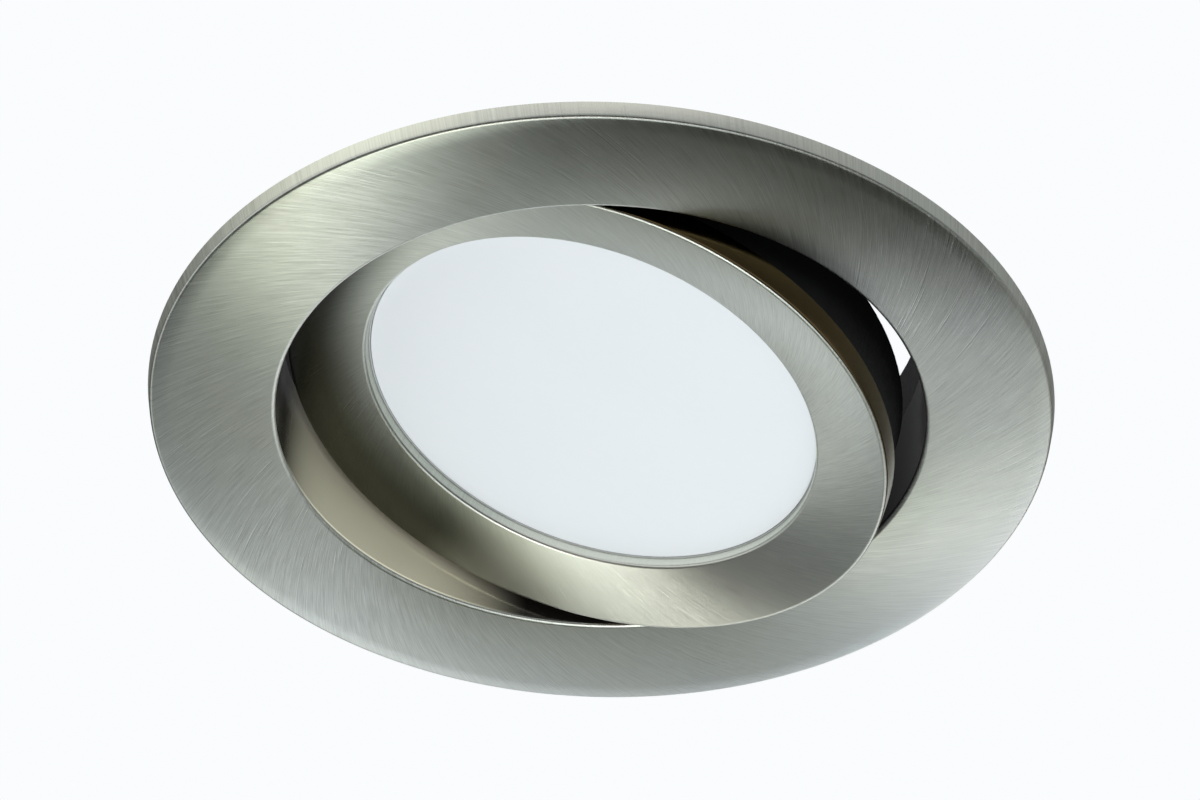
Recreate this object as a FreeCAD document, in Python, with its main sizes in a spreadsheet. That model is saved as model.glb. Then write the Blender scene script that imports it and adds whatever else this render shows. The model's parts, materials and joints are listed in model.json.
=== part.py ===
import FreeCAD, Part
import math
import operator
import os
from types import SimpleNamespace

import Sketcher
from FreeCAD import Placement, Rotation, Vector

# Tilting soffit downlight: a round trim ring carries a disc-shaped lamp head on two pivot
# screws, and two sprung clips hold the ring up in the soffit.
# Frame: origin at the centre of the trim ring's back plane, which lies against the soffit.
# +Z points up into the soffit, and the light leaves towards -Z.
# The head tilts about the Y axis. The clips stand on the +X and -X sides.
# Head pieces are drawn untilted, with heights counted from the pivot axis, and then placed.

SIZES = [
    # Trim ring
    ("flange_overlap", 11.8),
    ("rim_height", 1.65),
    ("rim_wall", 1.2),
    ("rim_round", 0.45),
    ("face_depth", 1.95),
    ("lip_round", 1.5),
    ("back_recess", 0.8),
    ("hole_radius", 32.2),
    ("collar_wall", 1.0),
    ("collar_height", 9.0),
    ("ear_height", 14.9),
    ("ear_half_width", 14.0),
    ("ear_slope", 1.6),
    ("gasket_margin", 0.3),
    ("cut_margin", 1.0),
    # Pivot
    ("pivot_height", 4.5),
    ("head_tilt", 15.7),
    ("pivot_shoulder_radius", 1.6),
    ("pivot_running_gap", 0.05),
    ("pivot_thread_radius", 1.0),
    ("pivot_thread_length", 3.2),
    ("pivot_head_radius", 2.4),
    ("pivot_head_height", 0.8),
    ("pivot_slot_width", 0.6),
    ("pivot_slot_depth", 0.35),
    ("spacer_radius", 3.0),
    ("spacer_gap", 0.1),
    ("spring_washer_radius", 2.8),
    ("spring_washer_height", 0.4),
    ("washer_gap", 0.08),
    # Head bezel
    ("head_gap", 1.05),
    ("bezel_front", 6.0),
    ("bezel_back", 3.2),
    ("bezel_round", 0.45),
    ("opening_step", 2.2),
    ("opening_front", 4.4),
    ("opening_round", 0.35),
    # Lamp housing
    ("skirt_step", 1.15),
    ("housing_rear", 4.45),
    ("housing_round", 0.5),
    ("housing_wall", 4.0),
    ("floor_thickness", 2.0),
    ("slot_inset", 1.6),
    ("slot_length", 3.8),
    ("slot_width", 1.7),
    ("slot_depth", 1.8),
    ("slot_count", 24),
    ("housing_screw_inset", 1.95),
    ("housing_screw_radius", 0.9),
    ("housing_screw_head_radius", 1.35),
    ("housing_screw_head_height", 0.9),
    ("housing_screw_bite", 1.5),
    ("housing_screw_count", 3),
    ("screw_pitch_count", 7),
    ("seal_inset", 0.3),
    ("seal_width", 0.6),
    ("seal_height", 0.8),
    # Optics and light source
    ("diffuser_gap", 0.2),
    ("diffuser_step", 0.5),
    ("diffuser_rim", 0.9),
    ("optics_gap", 0.4),
    ("gasket_inner_gap", 0.1),
    ("reflector_wall", 1.4),
    ("pad_thickness", 0.3),
    ("pad_inset", 1.6),
    ("board_thickness", 1.2),
    ("chip_size", 3.0),
    ("chip_height", 0.7),
    ("outer_chip_inset", 5.9),
    ("outer_chip_count", 12),
    ("inner_chip_circle", 8.5),
    ("inner_chip_count", 6),
    # Leads between the light source and the driver
    ("lead_inset", 1.0),
    ("lead_spacing", 2.54),
    ("lead_radius", 0.4),
    ("bush_length", 6.2),
    ("bush_width", 3.2),
    # Driver
    ("post_inset", 2.2),
    ("post_angle", 60),
    ("post_radius", 1.4),
    ("post_height", 2.0),
    ("post_count", 3),
    ("driver_board_gap", 3.2),
    ("driver_board_thickness", 1.2),
    ("capacitor_radius", 3.6),
    ("capacitor_height", 7.0),
    ("capacitor_x", -10.5),
    ("capacitor_y", 1.0),
    ("transformer_x", 3.2),
    ("transformer_lead_gap", 1.0),
    ("transformer_length", 10.0),
    ("transformer_width", 8.0),
    ("transformer_height", 7.2),
    ("chip_block_length", 5.0),
    ("chip_block_width", 4.0),
    ("chip_block_height", 1.6),
    ("chip_block_inset", 3.6),
    ("terminal_y", 8.2),
    ("terminal_length", 11.0),
    ("terminal_width", 8.0),
    ("terminal_height", 7.4),
    ("terminal_hole_radius", 1.4),
    ("terminal_pitch", 5.0),
    ("terminal_screw_radius", 1.5),
    ("terminal_screw_depth", 1.2),
    # Driver cover
    ("cover_radius", 20.5),
    ("cover_rear", 17.0),
    ("cover_wall", 1.3),
    ("cover_round", 1.6),
    ("cover_foot_width", 3.2),
    ("cover_foot_height", 1.4),
    ("cover_screw_inset", 1.55),
    ("cover_screw_radius", 0.75),
    ("cover_screw_head_radius", 1.3),
    ("cover_screw_head_height", 0.9),
    ("cover_screw_bite", 1.5),
    ("cover_screw_count", 3),
    ("cover_panel_inset", 7.5),
    ("cover_panel_depth", 0.3),
    # Cable gland
    ("gland_height", 11.2),
    ("cable_radius", 2.8),
    ("gland_thread_radius", 3.6),
    ("gland_hole_gap", 0.05),
    ("gland_flange_radius", 4.4),
    ("gland_flange_length", 1.6),
    ("gland_neck_length", 3.0),
    ("gland_inner_reach", 2.6),
    ("gland_seal_length", 1.5),
    ("gland_nut_gap", 0.3),
    ("gland_nut_wall", 0.9),
    ("gland_nut_end", 1.2),
    ("locknut_length", 1.6),
    # Clips
    ("bracket_sheet", 0.8),
    ("bracket_low", 3.4),
    ("bracket_high", 14.6),
    ("bracket_half_width", 6.2),
    ("lug_low", 8.2),
    ("lug_high", 12.2),
    ("lug_reach", 1.4),
    ("lug_corner", 1.0),
    ("lug_sheet", 0.8),
    ("rivet_low", 5.2),
    ("rivet_high", 13.3),
    ("rivet_radius", 0.8),
    ("rivet_head_radius", 1.2),
    ("rivet_head_height", 0.55),
    ("clip_height", 10.2),
    ("pin_radius", 0.7),
    ("pin_head_radius", 1.15),
    ("pin_head_height", 0.5),
    ("pin_running_gap", 0.05),
    ("knuckle_wall", 0.6),
    ("arm_side_gap", 0.2),
    ("arm_sheet", 0.6),
    ("arm_length", 10.8),
    ("arm_corner", 1.6),
    ("window_length", 3.4),
    ("window_half_width", 3.3),
    ("sleeve_start", 7.2),
    ("sleeve_wall", 0.6),
    ("sleeve_round", 0.55),
    ("sleeve_rest_gap", 0.3),
    ("wire_radius", 0.35),
    ("coil_radius", 1.35),
    ("coil_gap_to_bracket", 0.15),
    ("coil_half_length", 2.4),
    ("coil_turns", 3),
    ("leg_gap", 0.05),
    ("fixed_leg_length", 3.0),
    ("moving_leg_length", 6.0),
]

# Places of the driver's three chips round its board, in degrees
CHIP_BLOCK_ANGLES = (0, 140, 215)

DOC = FreeCAD.newDocument("soffit_downlight")
SHEET = DOC.addObject("Spreadsheet::Sheet", "Sizes")
for row, (alias, number) in enumerate(SIZES, start=1):
    SHEET.set(f"A{row}", alias)
    SHEET.set(f"B{row}", str(number))
    SHEET.setAlias(f"B{row}", alias)
DOC.recompute()

NODES = []


class Size:
    """A length with the sheet expression that it comes from."""

    def __init__(self, value, text):
        self.value = value
        self.text = text

    def __add__(self, other):
        return join_sizes(self, other, operator.add, "+")

    def __sub__(self, other):
        return join_sizes(self, other, operator.sub, "-")

    def __mul__(self, other):
        return join_sizes(self, other, operator.mul, "*")

    def __truediv__(self, other):
        return join_sizes(self, other, operator.truediv, "/")

    def __neg__(self):
        return Size(-self.value, f"(0 - {self.text})")


def as_size(thing):
    """A Size, also for a plain number."""
    if isinstance(thing, Size):
        return thing
    return Size(float(thing), str(thing))


def join_sizes(first, second, work, sign):
    """Two sizes joined by one sum, difference, product or quotient."""
    second = as_size(second)
    return Size(work(first.value, second.value), f"({first.text} {sign} {second.text})")


def root(size):
    """Square root of a size."""
    return Size(math.sqrt(size.value), f"sqrt({size.text})")


def arcsine(size):
    """Angle in degrees whose sine is a size."""
    return Size(math.degrees(math.asin(size.value)), f"asin({size.text})")


def on_circle(radius, angle):
    """Place on a circle at an angle in degrees from the first axis."""
    turn = math.radians(angle.value)
    across = Size(math.cos(turn), f"cos({angle.text} * 1deg)")
    up = Size(math.sin(turn), f"sin({angle.text} * 1deg)")
    return radius * across, radius * up


s = SimpleNamespace(**{alias: Size(float(number), f"Sizes.{alias}") for alias, number in SIZES})
ZERO = Size(0.0, "0")

# Sizes that follow from the driving ones
collar_outer = s.hole_radius + s.collar_wall
flange_radius = collar_outer + s.flange_overlap
recess_radius = flange_radius - s.rim_wall
bezel_radius = s.hole_radius - s.head_gap
housing_radius = bezel_radius - s.skirt_step
cavity_radius = housing_radius - s.housing_wall
optics_radius = cavity_radius - s.optics_gap
opening_radius = optics_radius - s.opening_step
slot_outer_radius = housing_radius - s.slot_inset
slot_inner_radius = slot_outer_radius - s.slot_length
housing_screw_circle = housing_radius - s.housing_screw_inset
seal_inner_radius = cavity_radius + s.seal_inset
seal_outer_radius = seal_inner_radius + s.seal_width
outer_chip_circle = opening_radius - s.outer_chip_inset
cover_foot_radius = s.cover_radius + s.cover_foot_width
cover_screw_circle = cover_foot_radius - s.cover_screw_inset
cover_panel_radius = s.cover_radius - s.cover_panel_inset
cavity_floor = s.housing_rear - s.floor_thickness
board_top = cavity_floor - s.pad_thickness
board_bottom = board_top - s.board_thickness
diffuser_top = s.diffuser_step + s.diffuser_rim - s.bezel_back
driver_board_low = s.housing_rear + s.post_height
driver_board_high = driver_board_low + s.driver_board_thickness
cover_inner_radius = s.cover_radius - s.cover_wall
cover_foot_top = s.housing_rear + s.cover_foot_height
driver_board_radius = cover_inner_radius - s.driver_board_gap
lead_place = driver_board_radius - s.lead_inset
bracket_outer = collar_outer + s.bracket_sheet
coil_outer = s.coil_radius + s.wire_radius
clip_axis_x = bracket_outer + coil_outer + s.coil_gap_to_bracket
lug_inner = s.bracket_half_width - s.lug_sheet
arm_half_width = lug_inner - s.arm_side_gap
knuckle_inner = s.pin_radius + s.pin_running_gap
knuckle_outer = knuckle_inner + s.knuckle_wall
arm_top = s.coil_radius - s.wire_radius - s.leg_gap
arm_bottom = arm_top - s.arm_sheet
sleeve_tip = s.arm_length + s.sleeve_wall
sleeve_bottom = arm_bottom - s.sleeve_wall
sleeve_top = arm_top + s.sleeve_wall
spring_washer_start = collar_outer + s.washer_gap
screw_angle = as_size(180) / s.slot_count * s.screw_pitch_count
spring_washer_end = spring_washer_start + s.spring_washer_height
pivot_head_start = spring_washer_end + s.washer_gap
both_sides = as_size(2)


def bind(thing, name, size):
    """Tie one property of a document object to a size."""
    thing.setExpression(name, as_size(size).text)


def new_body(name):
    """An empty body whose label names its node."""
    body = DOC.addObject("PartDesign::Body", name)
    body.Label = name
    body.AllowCompound = True
    return body


def origin_plane(body, role):
    """One of a body's own origin planes."""
    return next(item for item in body.Origin.OriginFeatures if item.Role == role)


def sketch_on(body, role, offset=ZERO):
    """A sketch on an origin plane of its own body, moved along the plane's normal."""
    sketch = body.newObject("Sketcher::SketchObject", f"{body.Name}_sketch")
    sketch.AttachmentSupport = [(origin_plane(body, role), "")]
    sketch.MapMode = "FlatFace"
    if offset is not ZERO:
        bind(sketch, "AttachmentOffset.Base.z", offset)
    return sketch


def hold_point(sketch, line, end, place):
    """Hold one point of a sketch by its two distances from the origin."""
    for kind, axis, size in (("DistanceX", -2, place[0]), ("DistanceY", -1, place[1])):
        if size is ZERO:
            sketch.addConstraint(Sketcher.Constraint("PointOnObject", line, end, axis))
            continue
        index = sketch.addConstraint(Sketcher.Constraint(kind, -1, 1, line, end, size.value))
        bind(sketch, f"Constraints[{index}]", size)


def draw_outline(sketch, points):
    """A closed run of straight lines through the points."""
    corners = [Vector(across.value, up.value, 0) for across, up in points]
    following = corners[1:] + corners[:1]
    lines = [
        sketch.addGeometry(Part.LineSegment(start, end), False)
        for start, end in zip(corners, following)
    ]
    for line, next_line in zip(lines, lines[1:] + lines[:1]):
        sketch.addConstraint(Sketcher.Constraint("Coincident", line, 2, next_line, 1))
    for line, place in zip(lines, points):
        hold_point(sketch, line, 1, place)


def draw_box(sketch, low_x, low_y, high_x, high_y):
    """A rectangle between two corners."""
    draw_outline(sketch, [(low_x, low_y), (high_x, low_y), (high_x, high_y), (low_x, high_y)])


def draw_circle(sketch, place, radius):
    """A circle about a place."""
    centre = Vector(place[0].value, place[1].value, 0)
    normal = Vector(0, 0, 1)
    circle = sketch.addGeometry(Part.Circle(centre, normal, radius.value), False)
    hold_point(sketch, circle, 3, place)
    index = sketch.addConstraint(Sketcher.Constraint("Radius", circle, radius.value))
    bind(sketch, f"Constraints[{index}]", radius)


def add_feature(body, kind, sketch=None):
    """A feature at the end of a body."""
    feature = body.newObject(f"PartDesign::{kind}", f"{body.Name}_{kind.lower()}")
    if sketch is not None:
        feature.Profile = sketch
    return feature


def revolve(body, points, kind="Revolution"):
    """Turn a profile of (radius, height) points about the body's Z axis."""
    sketch = sketch_on(body, "XZ_Plane")
    draw_outline(sketch, points)
    feature = add_feature(body, kind, sketch)
    feature.ReferenceAxis = (sketch, ["V_Axis"])
    feature.Angle = 360
    return feature


def turned(name, points):
    """A body turned from one profile."""
    body = new_body(name)
    revolve(body, points)
    return body


def ring(name, inner, outer, low, high):
    """A plain ring, or a disc where the inner radius is zero."""
    return turned(name, [(inner, low), (outer, low), (outer, high), (inner, high)])


def pad(body, sketch, length, side_type="One side"):
    """Raise a sketch along its normal, or half each way."""
    feature = add_feature(body, "Pad", sketch)
    feature.SideType = side_type
    bind(feature, "Length", length)
    return feature


def pocket(body, sketch, length=None, side_type="One side"):
    """Cut a sketch into a body against its normal: by a length, or right through both ways."""
    feature = add_feature(body, "Pocket", sketch)
    if length is None:
        feature.SideType = "Symmetric"
        feature.Type = "ThroughAll"
        return feature
    feature.SideType = side_type
    bind(feature, "Length", length)
    return feature


def spread_round(body, features, count):
    """Repeat features evenly about the body's Z axis."""
    pattern = add_feature(body, "PolarPattern")
    pattern.Originals = features
    pattern.Axis = (origin_axis(body, "Z_Axis"), [""])
    pattern.Angle = 360
    bind(pattern, "Occurrences", count)
    body.Tip = pattern
    return pattern


def origin_axis(body, role):
    """One of a body's own origin axes."""
    return next(item for item in body.Origin.OriginFeatures if item.Role == role)


def mirror_across(body, features, role):
    """Mirror features across one of the body's origin planes."""
    mirror = add_feature(body, "Mirrored")
    mirror.Originals = features
    mirror.MirrorPlane = (origin_plane(body, role), [""])
    body.Tip = mirror
    return mirror


def rim_edges(shape, radius, height):
    """Names of the circular edges about Z that have this radius and height."""
    names = []
    for number, edge in enumerate(shape.Edges, start=1):
        curve = edge.Curve
        if not isinstance(curve, Part.Circle):
            continue
        same_radius = abs(curve.Radius - radius.value) < 1e-4
        same_height = abs(curve.Center.z - height.value) < 1e-4
        if same_radius and same_height:
            names.append(f"Edge{number}")
    return names


def upright_edges(shape, place):
    """Names of the straight edges that run along Z at one X."""
    names = []
    for number, edge in enumerate(shape.Edges, start=1):
        if not isinstance(edge.Curve, Part.Line):
            continue
        ends = [vertex.Point for vertex in edge.Vertexes]
        along_z = abs(ends[0].x - ends[1].x) < 1e-6 and abs(ends[0].y - ends[1].y) < 1e-6
        if along_z and abs(ends[0].x - place.value) < 1e-4:
            names.append(f"Edge{number}")
    return names


def round_edges(body, names, radius):
    """Fillet named edges of a body's last feature."""
    base = body.Tip
    fillet = add_feature(body, "Fillet")
    fillet.Base = (base, names)
    bind(fillet, "Radius", radius)
    return fillet


def round_rim(body, radius, height, fillet_radius):
    """Fillet the circular edges of a body at one radius and height."""
    DOC.recompute()
    return round_edges(body, rim_edges(body.Shape, radius, height), fillet_radius)


def drill_round(body, circle, radius, top, depth, count):
    """Holes on a circle, from a height down, at the screws' angle."""
    sketch = sketch_on(body, "XY_Plane", top)
    draw_circle(sketch, on_circle(circle, screw_angle), radius)
    return spread_round(body, [pocket(body, sketch, depth)], count)


def round_post(body, place, radius, low, length):
    """A round post between two heights."""
    sketch = sketch_on(body, "XY_Plane", low)
    draw_circle(sketch, place, radius)
    return pad(body, sketch, length)


def block(body, low_x, low_y, high_x, high_y, low, length):
    """A rectangular block between two heights."""
    sketch = sketch_on(body, "XY_Plane", low)
    draw_box(sketch, low_x, low_y, high_x, high_y)
    return pad(body, sketch, length)


def centred_block(body, centre_x, centre_y, length, width, low, height):
    """A rectangular block about a centre."""
    return block(
        body,
        centre_x - length / 2,
        centre_y - width / 2,
        centre_x + length / 2,
        centre_y + width / 2,
        low,
        height,
    )


def keep(thing, placement=None):
    """Place a finished sub-part and list it as a node."""
    if placement is not None:
        thing.Placement = placement
    NODES.append(thing)
    return thing


def head_place():
    """Where the head's own frame lies: on the pivot axis, turned by the tilt."""
    turn = Rotation(Vector(0, 1, 0), s.head_tilt.value)
    return Placement(Vector(0, 0, s.pivot_height.value), turn)


def side_place(side_angle):
    """The frame of one clip's side: +X, or turned half round to -X."""
    return Placement(Vector(0, 0, 0), Rotation(Vector(0, 0, 1), side_angle))


# ---------------------------------------------------------------- trim


def make_trim_ring():
    """Flange with a turned-back rim, rolled inner lip, and a collar with two raised ears."""
    body = turned("trim_ring", [
        (flange_radius, ZERO),
        (flange_radius, -s.rim_height),
        (s.hole_radius, -s.face_depth),
        (s.hole_radius, s.ear_height),
        (collar_outer, s.ear_height),
        (collar_outer, -s.back_recess),
        (recess_radius, -s.back_recess),
        (recess_radius, ZERO),
    ])
    beside_ears = sketch_on(body, "YZ_Plane")
    beyond = collar_outer + s.cut_margin
    above = s.ear_height + s.cut_margin
    for side in (1, -1):
        draw_outline(beside_ears, [
            (s.ear_half_width * side, above),
            (s.ear_half_width * side, s.ear_height - s.ear_slope),
            ((s.ear_half_width + s.ear_slope) * side, s.collar_height),
            (beyond * side, s.collar_height),
            (beyond * side, above),
        ])
    pocket(body, beside_ears)
    pivot_holes = sketch_on(body, "XZ_Plane")
    draw_circle(pivot_holes, (ZERO, s.pivot_height), s.pivot_shoulder_radius + s.pivot_running_gap)
    pocket(body, pivot_holes)
    rivet_holes = sketch_on(body, "YZ_Plane")
    for height in (s.rivet_low, s.rivet_high):
        draw_circle(rivet_holes, (ZERO, height), s.rivet_radius)
    pocket(body, rivet_holes)
    round_rim(body, flange_radius, -s.rim_height, s.rim_round)
    round_rim(body, s.hole_radius, -s.face_depth, s.lip_round)
    keep(body)


def make_soffit_gasket():
    """Flat foam gasket in the hollow of the flange's back."""
    inner = collar_outer + s.gasket_margin
    outer = recess_radius - s.gasket_margin
    keep(ring("soffit_gasket", inner, outer, -s.back_recess, ZERO))


def make_pivot_pieces():
    """Shoulder screws, spacers and spring washers on the head's two pivots."""
    screws = new_body("pivot_screws")
    parts = []
    thread_start = housing_radius - s.pivot_thread_length
    for radius, start, length in (
        (s.pivot_thread_radius, thread_start, s.pivot_thread_length),
        (s.pivot_shoulder_radius, housing_radius, pivot_head_start - housing_radius),
        (s.pivot_head_radius, pivot_head_start, s.pivot_head_height),
    ):
        sketch = sketch_on(screws, "XZ_Plane", start)
        draw_circle(sketch, (ZERO, ZERO), radius)
        parts.append(pad(screws, sketch, length))
    slot = sketch_on(screws, "XZ_Plane", pivot_head_start + s.pivot_head_height)
    draw_box(slot, -s.pivot_head_radius, -s.pivot_slot_width / 2,
             s.pivot_head_radius, s.pivot_slot_width / 2)
    parts.append(pocket(screws, slot, s.pivot_slot_depth))
    spread_round(screws, parts, both_sides)
    keep(screws, head_place())

    spacer_start = housing_radius + s.spacer_gap / 2
    spacer_end = root(s.hole_radius * s.hole_radius - s.spacer_radius * s.spacer_radius) - s.spacer_gap
    for name, radius, start, end in (
        ("pivot_spacers", s.spacer_radius, spacer_start, spacer_end),
        ("pivot_spring_washers", s.spring_washer_radius, spring_washer_start, spring_washer_end),
    ):
        body = new_body(name)
        sketch = sketch_on(body, "XZ_Plane", start)
        draw_circle(sketch, (ZERO, ZERO), radius)
        draw_circle(sketch, (ZERO, ZERO), s.pivot_shoulder_radius)
        disc = pad(body, sketch, end - start)
        spread_round(body, [disc], both_sides)
        keep(body, head_place())


# ---------------------------------------------------------------- lamp head


def make_head_bezel():
    """Dished front ring of the head, with a short skirt and a rounded opening."""
    body = turned("head_bezel", [
        (opening_radius, -s.bezel_back),
        (opening_radius, -s.opening_front),
        (bezel_radius, -s.bezel_front),
        (bezel_radius, -s.bezel_back),
    ])
    sketch = sketch_on(body, "XY_Plane")
    draw_circle(sketch, on_circle(housing_screw_circle, screw_angle), s.housing_screw_radius)
    hole = pocket(body, sketch, s.bezel_back + s.housing_screw_bite)
    spread_round(body, [hole], s.housing_screw_count)
    round_rim(body, bezel_radius, -s.bezel_front, s.bezel_round)
    round_rim(body, opening_radius, -s.opening_front, s.opening_round)
    keep(body, head_place())


def make_optics():
    """Diffuser with its rim seal, and the white ring that holds it off the light source."""
    window = opening_radius - s.diffuser_gap
    step = s.diffuser_step - s.bezel_back
    body = turned("diffuser", [
        (ZERO, -s.bezel_back),
        (window, -s.bezel_back),
        (window, step),
        (optics_radius, step),
        (optics_radius, diffuser_top),
        (ZERO, diffuser_top),
    ])
    keep(body, head_place())
    seal_inner = window + s.gasket_inner_gap
    keep(ring("diffuser_gasket", seal_inner, optics_radius, -s.bezel_back, step), head_place())
    reflector_inner = optics_radius - s.reflector_wall
    keep(ring("reflector_ring", reflector_inner, optics_radius, diffuser_top, board_bottom),
         head_place())


def cut_lead_slot(body):
    """Opening for the leads' bush."""
    sketch = sketch_on(body, "XY_Plane")
    draw_box(sketch, -s.bush_length / 2, -lead_place - s.bush_width / 2,
             s.bush_length / 2, -lead_place + s.bush_width / 2)
    pocket(body, sketch)


def lead_holes(sketch):
    """The two places where the leads pass."""
    for side in (1, -1):
        draw_circle(sketch, (s.lead_spacing * side / 2, -lead_place), s.lead_radius)


def make_light_source():
    """Light board, its chips and the pad that takes their heat to the housing."""
    pad_body = ring("thermal_pad", ZERO, optics_radius - s.pad_inset, board_top, cavity_floor)
    cut_lead_slot(pad_body)
    keep(pad_body, head_place())
    board = ring("led_board", ZERO, optics_radius, board_bottom, board_top)
    sketch = sketch_on(board, "XY_Plane")
    lead_holes(sketch)
    pocket(board, sketch)
    keep(board, head_place())
    chips = new_body("led_chips")
    low = board_bottom - s.chip_height
    for circle, count in (
        (outer_chip_circle, s.outer_chip_count),
        (s.inner_chip_circle, s.inner_chip_count),
    ):
        chip = centred_block(chips, circle, ZERO, s.chip_size, s.chip_size, low, s.chip_height)
        spread_round(chips, [chip], count)
    keep(chips, head_place())


def make_lamp_housing():
    """Black cup that carries the light source, with cooling slots in its rear face."""
    body = turned("lamp_housing", [
        (cavity_radius, -s.bezel_back),
        (housing_radius, -s.bezel_back),
        (housing_radius, s.housing_rear),
        (ZERO, s.housing_rear),
        (ZERO, cavity_floor),
        (cavity_radius, cavity_floor),
    ])
    seal_top = s.seal_height - s.bezel_back
    revolve(body, [
        (seal_inner_radius, -s.bezel_back),
        (seal_outer_radius, -s.bezel_back),
        (seal_outer_radius, seal_top),
        (seal_inner_radius, seal_top),
    ], "Groove")
    slots = sketch_on(body, "XY_Plane", s.housing_rear)
    draw_box(slots, slot_inner_radius, -s.slot_width / 2, slot_outer_radius, s.slot_width / 2)
    spread_round(body, [pocket(body, slots, s.slot_depth)], s.slot_count)
    post_spot = on_circle(driver_board_radius - s.post_inset, s.post_angle)
    post = round_post(body, post_spot, s.post_radius, s.housing_rear, s.post_height)
    spread_round(body, [post], s.post_count)
    thickness = s.housing_rear + s.bezel_back
    for circle, radius, depth, count in (
        (housing_screw_circle, s.housing_screw_radius, thickness, s.housing_screw_count),
        (housing_screw_circle, s.housing_screw_head_radius, s.housing_screw_head_height,
         s.housing_screw_count),
        (cover_screw_circle, s.cover_screw_radius, s.cover_screw_bite, s.cover_screw_count),
    ):
        drill_round(body, circle, radius, s.housing_rear, depth, count)
    pivot_holes = sketch_on(body, "XZ_Plane")
    draw_circle(pivot_holes, (ZERO, ZERO), s.pivot_thread_radius)
    pocket(body, pivot_holes)
    cut_lead_slot(body)
    round_rim(body, housing_radius, s.housing_rear, s.housing_round)
    keep(body, head_place())
    keep(ring("housing_seal", seal_inner_radius, seal_outer_radius, -s.bezel_back, seal_top),
         head_place())


def make_screws(name, circle, shank, head, seat, head_height, bite, count):
    """Round-headed screws on a circle, their heads on a seat and their shanks down below it."""
    body = new_body(name)
    shank_low = seat - bite
    spot = on_circle(circle, screw_angle)
    parts = [
        round_post(body, spot, shank, shank_low, bite),
        round_post(body, spot, head, seat, head_height),
    ]
    spread_round(body, parts, count)
    keep(body, head_place())


def make_fasteners():
    """Screws that hold the bezel to the housing and the cover to the housing."""
    seat = s.housing_rear - s.housing_screw_head_height
    reach = seat + s.bezel_back + s.housing_screw_bite
    make_screws("housing_screws", housing_screw_circle, s.housing_screw_radius,
                s.housing_screw_head_radius, seat, s.housing_screw_head_height, reach,
                s.housing_screw_count)
    make_screws("cover_screws", cover_screw_circle, s.cover_screw_radius,
                s.cover_screw_head_radius, cover_foot_top, s.cover_screw_head_height,
                s.cover_foot_height + s.cover_screw_bite, s.cover_screw_count)


def make_leads():
    """Two pins from the driver to the light board, and the insulating bush round them."""
    bush = new_body("lead_bush")
    centred_block(bush, ZERO, -lead_place, s.bush_length, s.bush_width, board_top,
                  s.housing_rear - board_top)
    sketch = sketch_on(bush, "XY_Plane")
    lead_holes(sketch)
    pocket(bush, sketch)
    keep(bush, head_place())
    pins = new_body("lead_pins")
    sketch = sketch_on(pins, "XY_Plane", board_bottom)
    lead_holes(sketch)
    pad(pins, sketch, driver_board_high - board_bottom)
    keep(pins, head_place())


def make_driver():
    """Driver board with its capacitor, transformer, chips and terminal block."""
    board = ring("driver_board", ZERO, driver_board_radius, driver_board_low, driver_board_high)
    sketch = sketch_on(board, "XY_Plane")
    lead_holes(sketch)
    pocket(board, sketch)
    keep(board, head_place())

    capacitor = new_body("driver_capacitor")
    spot = (s.capacitor_x, s.capacitor_y)
    round_post(capacitor, spot, s.capacitor_radius, driver_board_high, s.capacitor_height)
    keep(capacitor, head_place())

    transformer = new_body("driver_transformer")
    near_leads = lead_place - s.lead_radius - s.transformer_lead_gap
    centre_y = s.transformer_width / 2 - near_leads
    centred_block(transformer, s.transformer_x, centre_y, s.transformer_length,
                  s.transformer_width, driver_board_high, s.transformer_height)
    keep(transformer, head_place())

    chips = new_body("driver_chips")
    for angle in CHIP_BLOCK_ANGLES:
        across, up = on_circle(driver_board_radius - s.chip_block_inset, as_size(angle))
        centred_block(chips, across, up, s.chip_block_length, s.chip_block_width,
                      driver_board_high, s.chip_block_height)
    keep(chips, head_place())


def make_terminals():
    """Two-pole terminal block and its clamping screws."""
    top = driver_board_high + s.terminal_height
    body = new_body("terminal_block")
    centred_block(body, ZERO, s.terminal_y, s.terminal_length, s.terminal_width,
                  driver_board_high, s.terminal_height)
    back = s.terminal_y + s.terminal_width / 2
    wire_holes = sketch_on(body, "XZ_Plane", -back)
    wells = sketch_on(body, "XY_Plane", top)
    screws = new_body("terminal_screws")
    screw_sketch = sketch_on(screws, "XY_Plane", top - s.terminal_screw_depth)
    for side in (1, -1):
        across = s.terminal_pitch * side / 2
        draw_circle(wire_holes, (across, driver_board_high + s.terminal_height / 3),
                    s.terminal_hole_radius)
        draw_circle(wells, (across, s.terminal_y), s.terminal_screw_radius)
        draw_circle(screw_sketch, (across, s.terminal_y), s.terminal_screw_radius)
    cut = pocket(body, wire_holes, s.terminal_width / 2)
    cut.Reversed = True
    pocket(body, wells, s.terminal_screw_depth)
    pad(screws, screw_sketch, s.terminal_screw_depth / 2)
    keep(body, head_place())
    keep(screws, head_place())


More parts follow.
